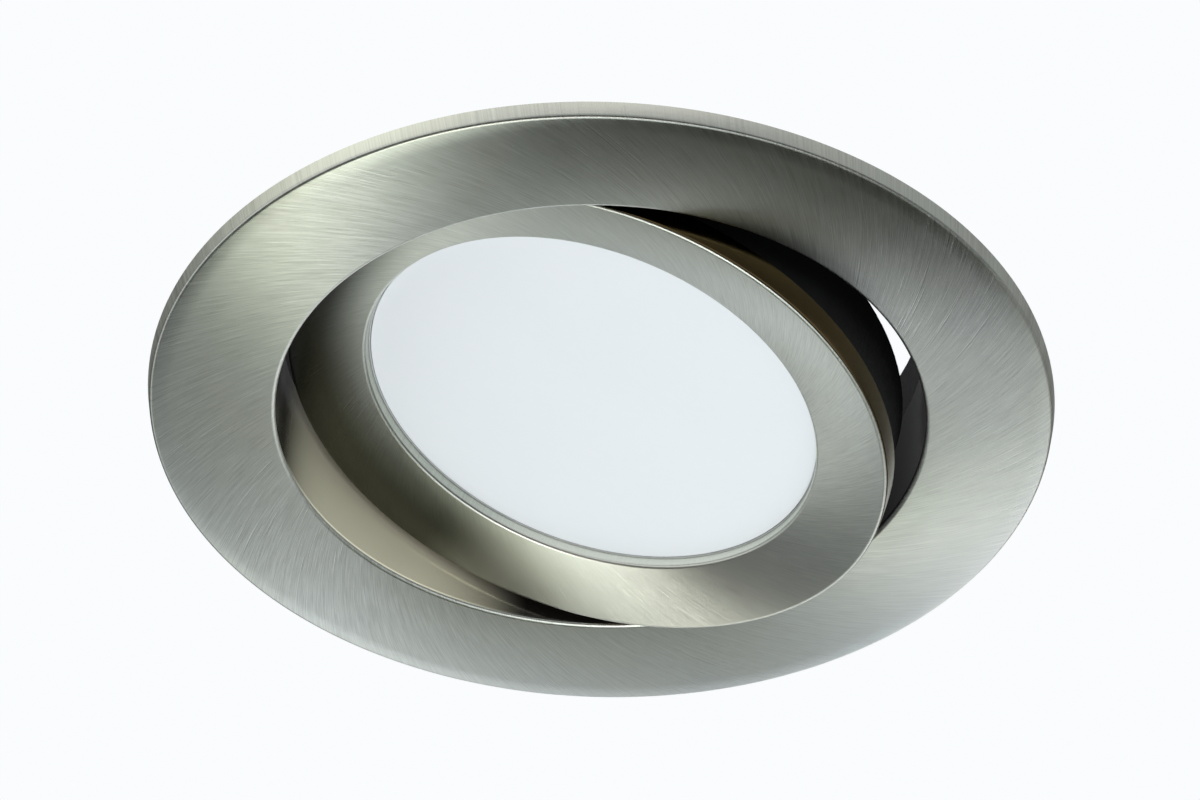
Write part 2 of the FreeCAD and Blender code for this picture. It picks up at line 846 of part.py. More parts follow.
def make_driver_cover():
    """Round cover with a screwed foot, a shallow panel on top and the gland's hole in its side."""
    top = s.cover_rear - s.cover_wall
    body = turned("driver_cover", [
        (cover_inner_radius, s.housing_rear),
        (cover_foot_radius, s.housing_rear),
        (cover_foot_radius, cover_foot_top),
        (s.cover_radius, cover_foot_top),
        (s.cover_radius, s.cover_rear),
        (cover_panel_radius, s.cover_rear),
        (cover_panel_radius, s.cover_rear - s.cover_panel_depth),
        (ZERO, s.cover_rear - s.cover_panel_depth),
        (ZERO, top),
        (cover_inner_radius, top),
    ])
    drill_round(body, cover_screw_circle, s.cover_screw_radius, cover_foot_top,
                s.cover_foot_height, s.cover_screw_count)
    gland_hole = sketch_on(body, "XZ_Plane")
    draw_circle(gland_hole, (ZERO, s.gland_height), s.gland_thread_radius + s.gland_hole_gap)
    pocket(body, gland_hole, s.cover_radius + s.cover_wall)
    round_rim(body, s.cover_radius, s.cover_rear, s.cover_round)
    keep(body, head_place())


def make_gland():
    """Cable gland through the cover's side: body, locknut, seal and clamping nut."""
    inner_end = cover_inner_radius - s.gland_inner_reach
    along_y = Placement(Vector(0, 0, s.gland_height.value), Rotation(Vector(1, 0, 0), -90))
    place = head_place() * along_y
    flange_start = s.cover_radius
    neck_start = flange_start + s.gland_flange_length
    neck_end = neck_start + s.gland_neck_length
    seal_end = neck_end + s.gland_seal_length
    nut_start = neck_start + s.gland_nut_gap
    nut_end = seal_end + s.gland_nut_end
    nut_radius = s.gland_thread_radius + s.gland_nut_wall
    keep(turned("gland_body", [
        (s.cable_radius, inner_end),
        (s.gland_thread_radius, inner_end),
        (s.gland_thread_radius, flange_start),
        (s.gland_flange_radius, flange_start),
        (s.gland_flange_radius, neck_start),
        (s.gland_thread_radius, neck_start),
        (s.gland_thread_radius, neck_end),
        (s.cable_radius, neck_end),
    ]), place)
    nut_seat = root(cover_inner_radius * cover_inner_radius
                    - s.gland_flange_radius * s.gland_flange_radius)
    keep(ring("gland_locknut", s.gland_thread_radius, s.gland_flange_radius,
              nut_seat - s.locknut_length, nut_seat), place)
    keep(ring("gland_seal", s.cable_radius, s.gland_thread_radius, neck_end, seal_end), place)
    nut = turned("gland_nut", [
        (s.gland_thread_radius, nut_start),
        (nut_radius, nut_start),
        (nut_radius, nut_end),
        (s.cable_radius, nut_end),
        (s.cable_radius, seal_end),
        (s.gland_thread_radius, seal_end),
    ])
    round_rim(nut, nut_radius, nut_end, s.gland_nut_wall)
    keep(nut, place)


# ---------------------------------------------------------------- clips


def arm_rest_angle():
    """How far below level an arm lies when its sleeve rests just clear of the gasket."""
    drop = s.clip_height.value - s.sleeve_rest_gap.value
    tip = sleeve_tip.value
    low = -sleeve_bottom.value
    return math.degrees(math.asin(drop / math.hypot(tip, low)) - math.atan2(low, tip))


def make_clip_bracket(name, place):
    """Curved plate against the ear, with two lugs for the pin."""
    body = new_body(name)
    sketch = sketch_on(body, "XZ_Plane")
    draw_box(sketch, collar_outer, s.bracket_low, bracket_outer, s.bracket_high)
    plate = add_feature(body, "Revolution", sketch)
    plate.ReferenceAxis = (sketch, ["V_Axis"])
    plate.Midplane = True
    bind(plate, "Angle", arcsine(s.bracket_half_width / collar_outer) * 2)
    rivet_holes = sketch_on(body, "YZ_Plane")
    for height in (s.rivet_low, s.rivet_high):
        draw_circle(rivet_holes, (ZERO, height), s.rivet_radius)
    pocket(body, rivet_holes)
    seat = collar_outer + s.bracket_sheet / 2
    lug_root = root(seat * seat - lug_inner * lug_inner)
    lug_end = clip_axis_x + s.lug_reach
    lug = sketch_on(body, "XZ_Plane", lug_inner)
    draw_outline(lug, [
        (lug_root, s.lug_low),
        (lug_end - s.lug_corner, s.lug_low),
        (lug_end, s.lug_low + s.lug_corner),
        (lug_end, s.lug_high - s.lug_corner),
        (lug_end - s.lug_corner, s.lug_high),
        (lug_root, s.lug_high),
    ])
    mirror_across(body, [pad(body, lug, s.lug_sheet)], "XZ_Plane")
    pin_hole = sketch_on(body, "XZ_Plane")
    draw_circle(pin_hole, (clip_axis_x, s.clip_height), s.pin_radius)
    pocket(body, pin_hole)
    keep(body, place)


def make_clip_pin(name, place):
    """Pin across the two lugs, with a head at each end."""
    body = new_body(name)
    spot = (clip_axis_x, s.clip_height)
    sketch = sketch_on(body, "XZ_Plane")
    draw_circle(sketch, spot, s.pin_radius)
    pad(body, sketch, s.bracket_half_width * 2, "Symmetric")
    head = sketch_on(body, "XZ_Plane", s.bracket_half_width)
    draw_circle(head, spot, s.pin_head_radius)
    mirror_across(body, [pad(body, head, s.pin_head_height)], "XZ_Plane")
    keep(body, place)


def make_clip_arm(name, place):
    """Sheet arm with two knuckles on the pin and a window for the spring."""
    body = new_body(name)
    knuckle = sketch_on(body, "XZ_Plane")
    draw_circle(knuckle, (ZERO, ZERO), knuckle_outer)
    pad(body, knuckle, arm_half_width * 2, "Symmetric")
    plate = sketch_on(body, "XZ_Plane")
    draw_box(plate, ZERO, arm_bottom, s.arm_length, arm_top)
    pad(body, plate, arm_half_width * 2, "Symmetric")
    window = sketch_on(body, "XY_Plane")
    draw_box(window, -s.window_length, -s.window_half_width, s.window_length, s.window_half_width)
    pocket(body, window)
    bore = sketch_on(body, "XZ_Plane")
    draw_circle(bore, (ZERO, ZERO), knuckle_inner)
    pocket(body, bore)
    DOC.recompute()
    round_edges(body, upright_edges(body.Shape, s.arm_length), s.arm_corner)
    keep(body, place)


def make_clip_sleeve(name, place):
    """Soft sleeve over the arm's tip."""
    body = new_body(name)
    sketch = sketch_on(body, "XZ_Plane")
    draw_box(sketch, s.sleeve_start, sleeve_bottom, sleeve_tip, sleeve_top)
    pad(body, sketch, (arm_half_width + s.sleeve_wall) * 2, "Symmetric")
    DOC.recompute()
    names = [f"Edge{number}" for number in range(1, len(body.Shape.Edges) + 1)]
    round_edges(body, names, s.sleeve_round)
    inside = sketch_on(body, "XZ_Plane")
    draw_box(inside, s.sleeve_start - s.sleeve_wall, arm_bottom, s.arm_length, arm_top)
    pocket(body, inside, arm_half_width * 2, "Symmetric")
    keep(body, place)


def bent_run(start, start_way, end, end_way):
    """Two arcs that leave one point along a way and meet another along its way."""
    across = end - start
    ways = start_way + end_way
    spare = 2 * (1 - start_way.dot(end_way))
    reach = across.dot(ways)
    handle = (math.sqrt(reach * reach + spare * across.dot(across)) - reach) / spare
    first_corner = start + start_way * handle
    second_corner = end - end_way * handle
    middle = (first_corner + second_corner) * 0.5
    return [arc_under(start, first_corner, middle), arc_under(middle, second_corner, end)]


def arc_under(start, corner, end):
    """The arc from start to end whose tangents meet at a corner."""
    chord_middle = (start + end) * 0.5
    rise = corner - chord_middle
    half_chord = (end - start).Length / 2
    sagitta = half_chord * math.tan(math.atan2(rise.Length, half_chord) / 2)
    rise.normalize()
    return Part.Arc(start, chord_middle + rise * sagitta, end).toShape()


def spring_path():
    """Edges of the wire: up the bracket, round the pin and out along the arm's back."""
    radius = s.coil_radius.value
    half = s.coil_half_length.value
    last_turn = 90 + arm_rest_angle()
    sweep = last_turn + 360 * s.coil_turns.value
    steps = math.ceil(sweep / 90)
    rise = 2 * half / math.radians(sweep)

    def place(step):
        angle = math.radians(180 - sweep * step / steps)
        across = clip_axis_x.value + radius * math.cos(angle)
        up = s.clip_height.value + radius * math.sin(angle)
        way = Vector(radius * math.sin(angle), rise, -radius * math.cos(angle))
        way.normalize()
        return Vector(across, -half + 2 * half * step / steps, up), way

    stations = [place(step) for step in range(steps + 1)]
    first, first_way = stations[0]
    last, last_way = stations[-1]
    wire_start = first - first_way * s.fixed_leg_length.value
    wire_end = last + last_way * s.moving_leg_length.value
    edges = [Part.LineSegment(wire_start, first).toShape()]
    for (start, start_way), (end, end_way) in zip(stations, stations[1:]):
        edges.extend(bent_run(start, start_way, end, end_way))
    edges.append(Part.LineSegment(last, wire_end).toShape())
    return edges, wire_start, first_way


def print_least_gap(edges):
    """Print the least gap between the wire's turns, measured on points along it."""
    points = [point for edge in edges for point in edge.discretize(9)[:-1]]
    turn = 2 * math.pi * s.coil_radius.value
    walked = [0.0]
    for before, after in zip(points, points[1:]):
        walked.append(walked[-1] + (after - before).Length)
    gaps = [
        (points[i] - points[j]).Length - 2 * s.wire_radius.value
        for i in range(len(points))
        for j in range(i)
        if walked[i] - walked[j] > turn / 2
    ]
    print("clip spring: least gap between turns", round(min(gaps), 3), "mm")


def make_clip_spring(name, place):
    """Torsion spring: one unbroken wire of straight legs and arcs."""
    edges, start, way = spring_path()
    print_least_gap(edges)
    circle = Part.Circle(start, way, s.wire_radius.value)
    profile = Part.Wire([circle.toShape()])
    feature = DOC.addObject("Part::Feature", name)
    feature.Label = name
    feature.Shape = Part.Wire(edges).makePipeShell([profile], True, False)
    keep(feature, place)


def make_clip_rivets():
    """Four rivets, two through each ear and its bracket."""
    body = new_body("clip_rivets")
    parts = []
    for height in (s.rivet_low, s.rivet_high):
        shank = sketch_on(body, "YZ_Plane", s.hole_radius)
        draw_circle(shank, (ZERO, height), s.rivet_radius)
        parts.append(pad(body, shank, bracket_outer - s.hole_radius))
        head = sketch_on(body, "YZ_Plane", bracket_outer)
        draw_circle(head, (ZERO, height), s.rivet_head_radius)
        parts.append(pad(body, head, s.rivet_head_height))
    spread_round(body, parts, both_sides)
    keep(body)


def make_clips():
    """The same clip on the +X side and, turned half round, on the -X side."""
    level = Placement(Vector(clip_axis_x.value, 0, s.clip_height.value),
                      Rotation(Vector(0, 1, 0), arm_rest_angle()))
    for side, angle in (("right", 0), ("left", 180)):
        place = side_place(angle)
        make_clip_bracket(f"clip_bracket_{side}", place)
        make_clip_pin(f"clip_pin_{side}", place)
        make_clip_spring(f"clip_spring_{side}", place)
        make_clip_arm(f"clip_arm_{side}", place * level)
        make_clip_sleeve(f"clip_sleeve_{side}", place * level)
    make_clip_rivets()


# ---------------------------------------------------------------- whole light


def make_all():
    """Build every sub-part."""
    make_trim_ring()
    make_soffit_gasket()
    make_clips()
    make_pivot_pieces()
    make_head_bezel()
    make_optics()
    make_light_source()
    make_lamp_housing()
    make_fasteners()
    make_leads()
    make_driver()
    make_terminals()
    make_driver_cover()
    make_gland()


def check_objects():
    """Stop if any object failed, any cut missed its solid or any node's shape is faulty."""
    for item in DOC.Objects:
        if "Invalid" in item.State or "Error" in item.State:
            raise RuntimeError(f"{item.Name} failed: {item.State}")
        if item.TypeId in ("PartDesign::Pocket", "PartDesign::Groove"):
            removed = item.BaseFeature.Shape.Volume - item.Shape.Volume
            if removed <= 0:
                raise RuntimeError(f"{item.Name} cuts nothing")
    for node in NODES:
        if node.Shape.isNull() or not node.Shape.isValid():
            raise RuntimeError(f"{node.Label} has a faulty shape")


def write_parts():
    """Write each node's shape to its own file."""
    os.makedirs("parts", exist_ok=True)
    for node in NODES:
        node.Shape.exportStep(f"parts/{node.Label}.step")
        print(node.Label, len(node.Shape.Solids), round(node.Shape.Volume, 2))


make_all()
DOC.recompute()
check_objects()
write_parts()
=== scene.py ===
import json
import math

import bmesh
import bpy
from mathutils import Matrix, Quaternion, Vector


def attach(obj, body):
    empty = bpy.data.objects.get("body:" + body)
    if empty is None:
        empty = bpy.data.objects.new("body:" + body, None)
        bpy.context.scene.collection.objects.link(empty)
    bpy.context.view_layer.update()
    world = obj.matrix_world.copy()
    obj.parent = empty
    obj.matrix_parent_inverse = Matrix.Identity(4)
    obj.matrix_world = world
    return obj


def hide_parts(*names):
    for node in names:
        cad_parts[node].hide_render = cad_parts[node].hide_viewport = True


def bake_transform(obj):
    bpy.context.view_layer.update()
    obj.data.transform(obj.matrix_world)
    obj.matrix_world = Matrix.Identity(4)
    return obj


# Tilting soffit downlight. Sizes are written in millimetres and turned into metres by MM.
# The origin is the centre of the trim ring's back, +Z goes up into the soffit.

MM = 0.001

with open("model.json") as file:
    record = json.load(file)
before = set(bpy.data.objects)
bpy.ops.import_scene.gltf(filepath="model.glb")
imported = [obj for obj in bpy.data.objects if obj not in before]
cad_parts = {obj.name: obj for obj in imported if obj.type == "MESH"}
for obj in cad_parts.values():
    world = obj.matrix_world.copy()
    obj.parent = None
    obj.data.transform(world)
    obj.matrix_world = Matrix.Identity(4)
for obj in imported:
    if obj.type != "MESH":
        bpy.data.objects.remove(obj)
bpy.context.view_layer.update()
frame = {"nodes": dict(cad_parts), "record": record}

# ---------------------------------------------------------------- sizes

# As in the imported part
FLANGE_RADIUS = 45.0
RIM_HEIGHT = 1.65
FACE_DEPTH = 1.95
HOLE_RADIUS = 32.2
COLLAR_OUTER = 33.2
COLLAR_HEIGHT = 9.0
RECESS_RADIUS = 43.8
BACK_RECESS = 0.8
PIVOT_HEIGHT = 4.5
HEAD_TILT = math.radians(15.7)
BEZEL_RADIUS = 31.15
BEZEL_FRONT = 6.0
BEZEL_BACK = 3.2
BEZEL_ROUND = 0.45
OPENING_RADIUS = 23.4
OPENING_FRONT = 4.4
OPENING_ROUND = 0.35

# The scene's own: taper and round of the rim, crown of the flange, smaller round of the lip
RIM_FRONT = 44.75
RIM_ROUND = 0.35
CROWN_RADIUS = 36.5
LIP_ROUND = 0.5
FULL_TURN_STEPS = 256

# Where the head's own frame lies: on the pivot axis, turned by the tilt
head_place = Matrix.Translation((0, 0, PIVOT_HEIGHT)) @ Matrix.Rotation(HEAD_TILT, 4, "Y")
level_place = Matrix.Identity(4)


# ---------------------------------------------------------------- node helpers


class Graph:
    """Short ways to add nodes to one node tree."""

    def __init__(self, tree):
        self.tree = tree

    def add(self, kind, **settings):
        node = self.tree.nodes.new(kind)
        for name, value in settings.items():
            setattr(node, name, value)
        return node

    def put(self, socket, value):
        """Link a socket to another, or write a plain value into it."""
        if isinstance(value, bpy.types.NodeSocket):
            self.tree.links.new(value, socket)
        else:
            socket.default_value = value

    def math(self, work, *values):
        node = self.add("ShaderNodeMath", operation=work)
        for socket, value in zip(node.inputs, values):
            self.put(socket, value)
        return node.outputs[0]

    def vector(self, work, *values):
        node = self.add("ShaderNodeVectorMath", operation=work)
        for socket, value in zip(node.inputs, values):
            self.put(socket, value)
        return node.outputs["Value" if work in ("LENGTH", "DOT_PRODUCT") else 0]

    def parts(self, vector):
        node = self.add("ShaderNodeSeparateXYZ")
        self.put(node.inputs[0], vector)
        return node.outputs

    def join(self, *values):
        node = self.add("ShaderNodeCombineXYZ")
        for socket, value in zip(node.inputs, values):
            self.put(socket, value)
        return node.outputs[0]

    def noise(self, vector, scale, detail=2.0, roughness=0.5):
        node = self.add("ShaderNodeTexNoise")
        self.put(node.inputs["Vector"], vector)
        self.put(node.inputs["Scale"], scale)
        self.put(node.inputs["Detail"], detail)
        self.put(node.inputs["Roughness"], roughness)
        return node.outputs["Fac"]

    def spread(self, value, low, high, to_low=0.0, to_high=1.0, smooth=False):
        """Map a range of a value to another range, clamped."""
        node = self.add("ShaderNodeMapRange")
        node.interpolation_type = "SMOOTHSTEP" if smooth else "LINEAR"
        for socket, number in zip(node.inputs, (value, low, high, to_low, to_high)):
            self.put(socket, number)
        return node.outputs[0]

    def blend(self, share, first, second):
        """A colour between two colours."""
        node = self.add("ShaderNodeMix", data_type="RGBA")
        self.put(node.inputs["Factor"], share)
        self.put(node.inputs["A"], first)
        self.put(node.inputs["B"], second)
        return node.outputs["Result"]

    def bump(self, height, depth):
        """A normal from a height between 0 and 1 and a depth in metres."""
        node = self.add("ShaderNodeBump")
        self.put(node.inputs["Height"], height)
        self.put(node.inputs["Distance"], depth)
        node.inputs["Strength"].default_value = 1.0
        return node.outputs[0]

    def group(self, tree, **values):
        node = self.add("ShaderNodeGroup", node_tree=tree)
        for name, value in values.items():
            self.put(node.inputs[name.replace("_", " ")], value)
        return node.outputs


def new_group(name, inputs, outputs):
    """An empty shader group, its graph, and its own input and output sockets."""
    tree = bpy.data.node_groups.new(name, "ShaderNodeTree")
    for label, kind in inputs:
        tree.interface.new_socket(label, in_out="INPUT", socket_type=f"NodeSocket{kind}")
    for label, kind in outputs:
        tree.interface.new_socket(label, in_out="OUTPUT", socket_type=f"NodeSocket{kind}")
    graph = Graph(tree)
    return graph, graph.add("NodeGroupInput").outputs, graph.add("NodeGroupOutput").inputs


# Where most values of a noise lie, and how much finer the grain is than the patches
NOISE_RANGE = (0.3, 0.7)
GRAIN_FINER = 9.0

# Scratches are the rare peaks of a coarse noise, in patches of a coarser one
WIDE_STRETCH = (0.21, 0.21, 0.5)
DEEP_STRETCH = (0.6, 0.6, 0.7)
RARE_PEAKS = (0.66, 0.78)
SCRATCHED_PATCHES = (0.45, 0.6)


def make_brush_group():
    """Brush lines that cross a turned face on a spiral, about the Z axis."""
    graph, given, out = new_group(
        "spiral brushing",
        (("Vector", "Vector"), ("Twist", "Float"), ("Lines", "Float"), ("Breaks", "Float")),
        (("Lines", "Float"), ("Scratches", "Float")),
    )
    x, y, _ = graph.parts(given["Vector"])
    radius = graph.vector("LENGTH", graph.join(x, y, 0.0))
    run = graph.math("LOGARITHM", graph.math("MAXIMUM", radius, 0.01), math.e)
    twist = graph.math("MULTIPLY", run, given["Twist"])
    turn = graph.math("ADD", graph.math("ARCTAN2", y, x), twist)
    across_x = graph.math("MULTIPLY", graph.math("COSINE", turn), given["Lines"])
    across_y = graph.math("MULTIPLY", graph.math("SINE", turn), given["Lines"])
    along = graph.math("MULTIPLY", run, given["Breaks"])
    place = graph.join(across_x, across_y, along)
    fine = graph.noise(place, 1.0, 3.0, 0.65)
    graph.put(out["Lines"], graph.spread(fine, *NOISE_RANGE))
    wide = graph.noise(graph.vector("MULTIPLY", place, WIDE_STRETCH), 1.0, 2.0, 0.5)
    deep = graph.noise(graph.vector("MULTIPLY", place, DEEP_STRETCH), 1.0, 0.0)
    rare = graph.spread(deep, *RARE_PEAKS)
    patchy = graph.spread(wide, *SCRATCHED_PATCHES)
    graph.put(out["Scratches"], graph.math("MULTIPLY", rare, patchy))
    return graph.tree


def make_mottle_group():
    """Soft, large and small uneven patches of colour or gloss."""
    graph, given, out = new_group(
        "mottle",
        (("Vector", "Vector"), ("Patch", "Float")),
        (("Patches", "Float"), ("Grain", "Float")),
    )
    scale = graph.math("DIVIDE", 1.0, given["Patch"])
    patches = graph.noise(given["Vector"], scale, 2.0)
    graph.put(out["Patches"], graph.spread(patches, *NOISE_RANGE))
    grain = graph.noise(given["Vector"], graph.math("MULTIPLY", scale, GRAIN_FINER), 3.0, 0.6)
    graph.put(out["Grain"], graph.spread(grain, *NOISE_RANGE))
    return graph.tree


def make_pebble_group():
    """Fine pebbled skin of powder coat, foam and eroded mouldings."""
    graph, given, out = new_group(
        "pebble", (("Vector", "Vector"), ("Size", "Float")), (("Height", "Float"),)
    )
    scale = graph.math("DIVIDE", 1.0, given["Size"])
    cells = graph.add("ShaderNodeTexVoronoi", feature="SMOOTH_F1")
    graph.put(cells.inputs["Vector"], given["Vector"])
    graph.put(cells.inputs["Scale"], scale)
    rough = graph.noise(given["Vector"], graph.math("MULTIPLY", scale, 0.6), 3.0, 0.6)
    height = graph.math("SUBTRACT", graph.math("MULTIPLY", rough, 1.4), cells.outputs["Distance"])
    graph.put(out["Height"], graph.spread(height, -0.2, 0.9))
    return graph.tree


brush_group = make_brush_group()
mottle_group = make_mottle_group()
pebble_group = make_pebble_group()


# ---------------------------------------------------------------- materials

GRAIN_DARKER = 0.75


def start_material(name, base, metallic, roughness, place=level_place):
    """A new material, its graph, its shader, and Object coordinates in millimetres.

    The place is that of the piece's own frame, so patterns lie on the piece as it was turned.
    """
    material = bpy.data.materials.new(name)
    material.use_nodes = True
    graph = Graph(material.node_tree)
    shader = material.node_tree.nodes["Principled BSDF"]
    shader.inputs["Base Color"].default_value = (*base, 1.0)
    shader.inputs["Metallic"].default_value = metallic
    shader.inputs["Roughness"].default_value = roughness
    coordinates = graph.add("ShaderNodeTexCoord").outputs["Object"]
    back = place.inverted()
    mapping = graph.add("ShaderNodeMapping")
    graph.put(mapping.inputs["Vector"], coordinates)
    mapping.inputs["Scale"].default_value = (1 / MM,) * 3
    mapping.inputs["Rotation"].default_value = back.to_euler()
    mapping.inputs["Location"].default_value = back.to_translation()
    return material, graph, shader, mapping.outputs[0]


def mottled(
    name, base, other, metallic, roughness, patch, pebble=0.0, depth=0.0, grain=0.35, **sockets
):
    """A finish with uneven colour and gloss, and a pebbled or fine-grained skin."""
    material, graph, shader, place = start_material(name, base, metallic, roughness[0])
    mottle = graph.group(mottle_group, Vector=place, Patch=patch)
    colour = graph.blend(mottle["Patches"], (*base, 1.0), (*other, 1.0))
    darker = tuple(GRAIN_DARKER * part for part in base)
    share = graph.math("MULTIPLY", mottle["Grain"], grain)
    graph.put(shader.inputs["Base Color"], graph.blend(share, colour, (*darker, 1.0)))
    graph.put(shader.inputs["Roughness"], graph.spread(mottle["Grain"], 0.0, 1.0, *roughness))
    height = mottle["Grain"]
    if pebble:
        height = graph.group(pebble_group, Vector=place, Size=pebble)["Height"]
    graph.put(shader.inputs["Normal"], graph.bump(height, depth * MM))
    for label, value in sockets.items():
        shader.inputs[label.replace("_", " ")].default_value = value
    return material


NICKEL = (0.60, 0.63, 0.575)
NICKEL_WARM = (0.62, 0.63, 0.53)
BRUSH_LINES = 270.0
BRUSH_BREAKS = 12.0
BRUSHED_PATCH = 16.0
BRUSHED_ROUGHNESS = (0.30, 0.42)
BRUSHED_ANISOTROPY = 0.85
LINE_BRIGHT = 1.26
LINE_DULL = 0.72
LINE_SHARE = 0.65
LINE_DEPTH = 0.006
SCRATCH_DEPTH = 1.5
TURNED_LINES = 9.0
TURNED_PATCH = 9.0
TURNED_DEPTH = 0.002
TURNED_DARKER = 0.82
TURNED_ROUGHNESS = (0.8, 1.3)
SPIRAL_ANGLE = math.radians(43.0)


def painted_reflection_mask(graph, where, heading, narrow, wide, inner, outer):
    """Painted-light mask: 1 towards one heading about the axis and past a radius, fading out round
    and inwards.
    """
    x, y, _ = graph.parts(where)
    flat = graph.join(x, y, 0.0)
    turn = math.radians(heading)
    facing = graph.vector(
        "DOT_PRODUCT", graph.vector("NORMALIZE", flat), (math.cos(turn), math.sin(turn), 0.0)
    )
    around = graph.spread(
        facing, math.cos(math.radians(wide)), math.cos(math.radians(narrow)), smooth=True
    )
    along = graph.spread(graph.vector("LENGTH", flat), inner, outer, smooth=True)
    return graph.math("MULTIPLY", around, along)


def add_painted_reflections(graph, where, colour, patches):
    """Lay patches of painted reflection and shade over a colour: heading, narrow, wide, inner,
    outer, share and tone.
    """
    for heading, narrow, wide, inner, outer, share, tone in patches:
        mask = painted_reflection_mask(graph, where, heading, narrow, wide, inner, outer)
        colour = graph.blend(graph.math("MULTIPLY", mask, share), colour, (*tone, 1.0))
    return colour


def brushed_nickel(name, place, patches):
    """Satin nickel, brushed on a spiral about the piece's own axis, with painted reflections laid
    in.
    """
    material, graph, shader, where = start_material(name, NICKEL, 1.0, 0.36, place)
    twist = math.tan(SPIRAL_ANGLE)
    brush = graph.group(
        brush_group, Vector=where, Twist=twist, Lines=BRUSH_LINES, Breaks=BRUSH_BREAKS
    )
    mottle = graph.group(mottle_group, Vector=where, Patch=BRUSHED_PATCH)
    colour = graph.blend(mottle["Patches"], (*NICKEL, 1.0), (*NICKEL_WARM, 1.0))
    bright = tuple(part * LINE_BRIGHT for part in NICKEL)
    dull = tuple(part * LINE_DULL for part in NICKEL)
    streaks = graph.blend(brush["Lines"], (*dull, 1.0), (*bright, 1.0))
    # Painted reflections, highlights and shade go over the brushed colour here
    colour = add_painted_reflections(graph, where, graph.blend(LINE_SHARE, colour, streaks), patches)
    graph.put(shader.inputs["Base Color"], colour)
    roughness = graph.spread(brush["Lines"], 0.0, 1.0, *BRUSHED_ROUGHNESS)
    graph.put(shader.inputs["Roughness"], roughness)
    shader.inputs["Anisotropic"].default_value = BRUSHED_ANISOTROPY
    # The brushed normals spread in the face, square to the lines
    x, y, _ = graph.parts(where)
    across = graph.add("ShaderNodeVectorRotate", rotation_type="Z_AXIS")
    graph.put(across.inputs["Vector"], graph.join(x, y, 0.0))
    across.inputs["Angle"].default_value = math.pi / 2 - SPIRAL_ANGLE
    turned = graph.add("ShaderNodeVectorRotate", rotation_type="EULER_XYZ")
    graph.put(turned.inputs["Vector"], across.outputs[0])
    turned.inputs["Rotation"].default_value = place.to_euler()
    to_world = graph.add(
        "ShaderNodeVectorTransform", vector_type="VECTOR", convert_from="OBJECT", convert_to="WORLD"
    )
    graph.put(to_world.inputs[0], turned.outputs[0])
    graph.put(shader.inputs["Tangent"], graph.vector("NORMALIZE", to_world.outputs[0]))
    scratches = graph.math("MULTIPLY", brush["Scratches"], SCRATCH_DEPTH)
    height = graph.math("SUBTRACT", brush["Lines"], scratches)
    graph.put(shader.inputs["Normal"], graph.bump(height, LINE_DEPTH * MM))
    return material


def polished_nickel(name, place, tone, roughness, patches=(), metallic=1.0):
    """Nickel left bright from turning, with faint lines round the axis and any painted reflections.
    """
    material, graph, shader, where = start_material(name, tone, metallic, roughness, place)
    x, y, z = graph.parts(where)
    radius = graph.vector("LENGTH", graph.join(x, y, 0.0))
    lines = graph.noise(graph.join(radius, 0.0, z), TURNED_LINES, 3.0, 0.7)
    mottle = graph.group(mottle_group, Vector=where, Patch=TURNED_PATCH)
    darker = tuple(part * TURNED_DARKER for part in tone)
    colour = graph.blend(mottle["Patches"], (*tone, 1.0), (*darker, 1.0))
    graph.put(shader.inputs["Base Color"], add_painted_reflections(graph, where, colour, patches))
    smooth, rough = (roughness * share for share in TURNED_ROUGHNESS)
    graph.put(shader.inputs["Roughness"], graph.spread(mottle["Grain"], 0.0, 1.0, smooth, rough))
    graph.put(shader.inputs["Normal"], graph.bump(lines, TURNED_DEPTH * MM))
    return material


# Painted reflections, highlights and shade laid into the metal's colour round the axis. Each row
# has the heading in degrees (0 right, 90 back), its narrow and wide half angles, the radii between
# which it sets in, its share and its colour.
# On the flange face: a painted dark reflection at heading -74, painted bright reflections at -132
# and 32
FACE_PAINTED_REFLECTIONS = (
    (-74.0, 10.0, 55.0, 31.0, 43.0, 0.58, (0.17, 0.175, 0.16)),
    (-132.0, 8.0, 32.0, 33.0, 40.0, 0.25, (0.80, 0.84, 0.70)),
    (32.0, 8.0, 40.0, 30.0, 40.0, 0.35, (0.80, 0.84, 0.76)),
)
# On the head's dished face: near-black painted reflections at headings 156 and 138, a painted
# highlight at 72
HEAD_PAINTED_REFLECTIONS = (
    (156.0, 36.0, 76.0, 23.8, 28.2, 0.88, (0.02, 0.018, 0.015)),
    (138.0, 28.0, 62.0, 22.0, 26.0, 0.55, (0.17, 0.17, 0.13)),
    (72.0, 12.0, 50.0, 22.0, 24.0, 0.75, (0.92, 0.92, 0.82)),
)
# On the collar's inner wall: a painted gold reflection of the head's face at heading 133
COLLAR_PAINTED_REFLECTION = ((133.0, 8.0, 34.0, 0.0, 1.0, 1.0, (1.0, 0.95, 0.72)),)

